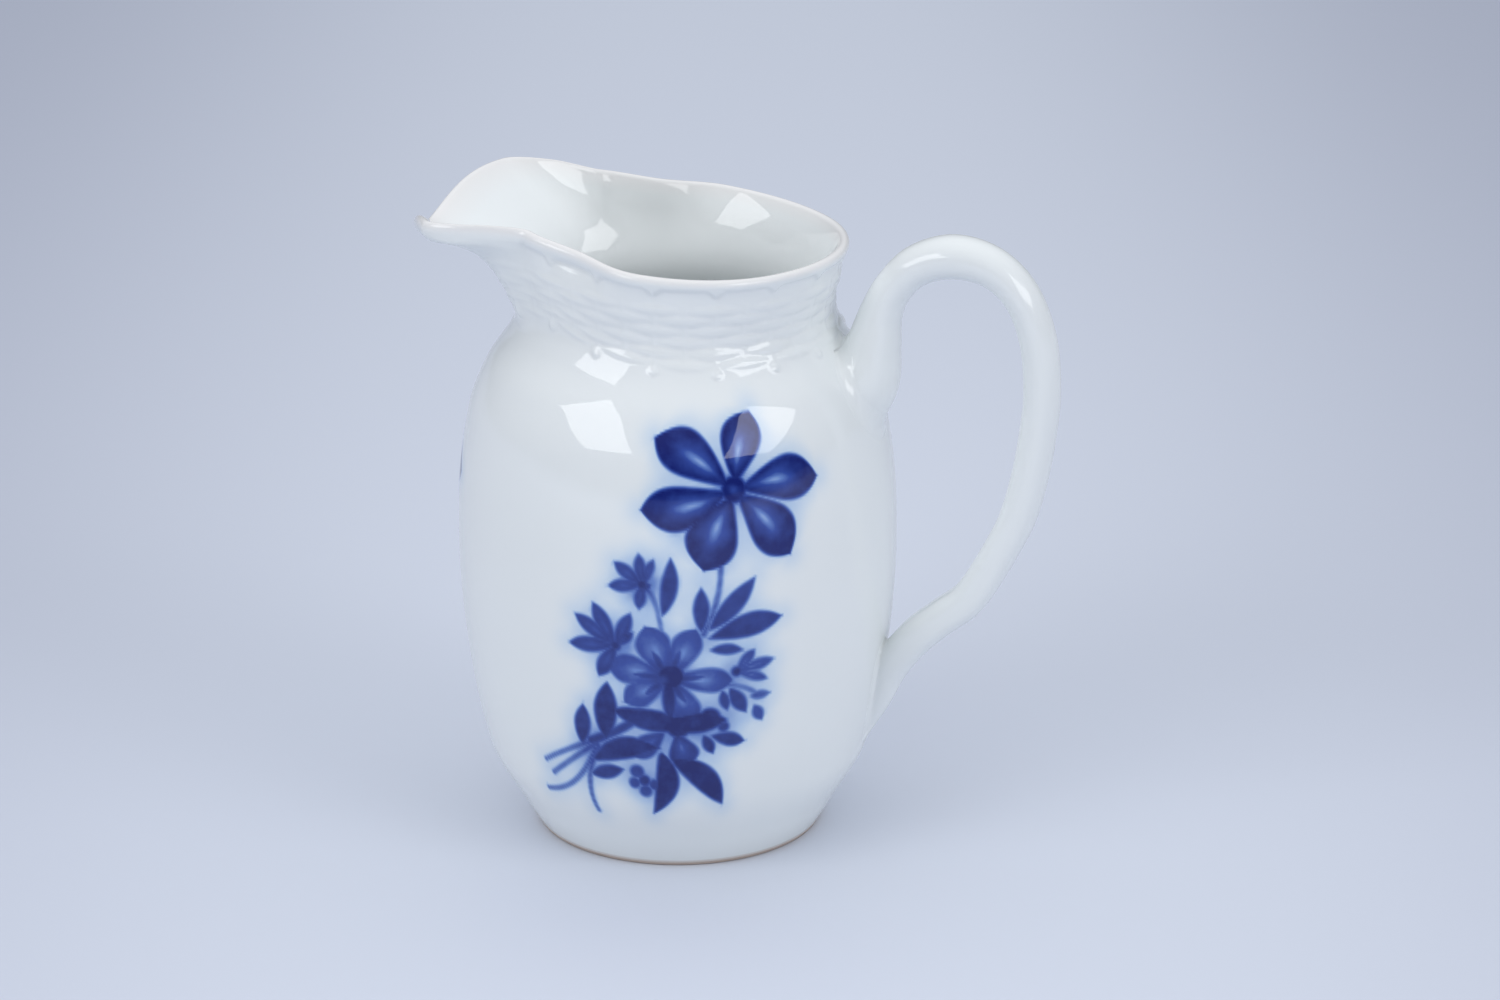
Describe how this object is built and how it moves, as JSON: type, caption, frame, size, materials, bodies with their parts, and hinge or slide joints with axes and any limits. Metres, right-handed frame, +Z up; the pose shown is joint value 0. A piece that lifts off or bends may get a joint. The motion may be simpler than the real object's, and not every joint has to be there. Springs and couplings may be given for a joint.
{
  "type": "cream jug",
  "caption": "Porcelain cream jug with a round belly, a broad pulled lip, a woven relief band, a loop handle and blue flowers.",
  "frame": {"origin": "middle of the footprint of the whole object, handle and spout included, on the plane that the foot ring stands on", "axes": "+Z up; +X from the belly towards the handle, with the spout towards -X; +Y across, the object being symmetric about the XZ plane"},
  "size_m": [0.1168, 0.0788, 0.1164],
  "materials": {
    "glazed_body": "clear glaze over white porcelain with cobalt flowers",
    "glazed_handle": "clear glaze over white porcelain",
    "glazed_slip": "clear glaze over white slip"
  },
  "bodies": {
    "root": {"jug_body": "glazed_body", "handle": "glazed_handle", "upper_luting_joint": "glazed_slip", "lower_luting_joint": "glazed_slip"}
  },
  "joints": []
}
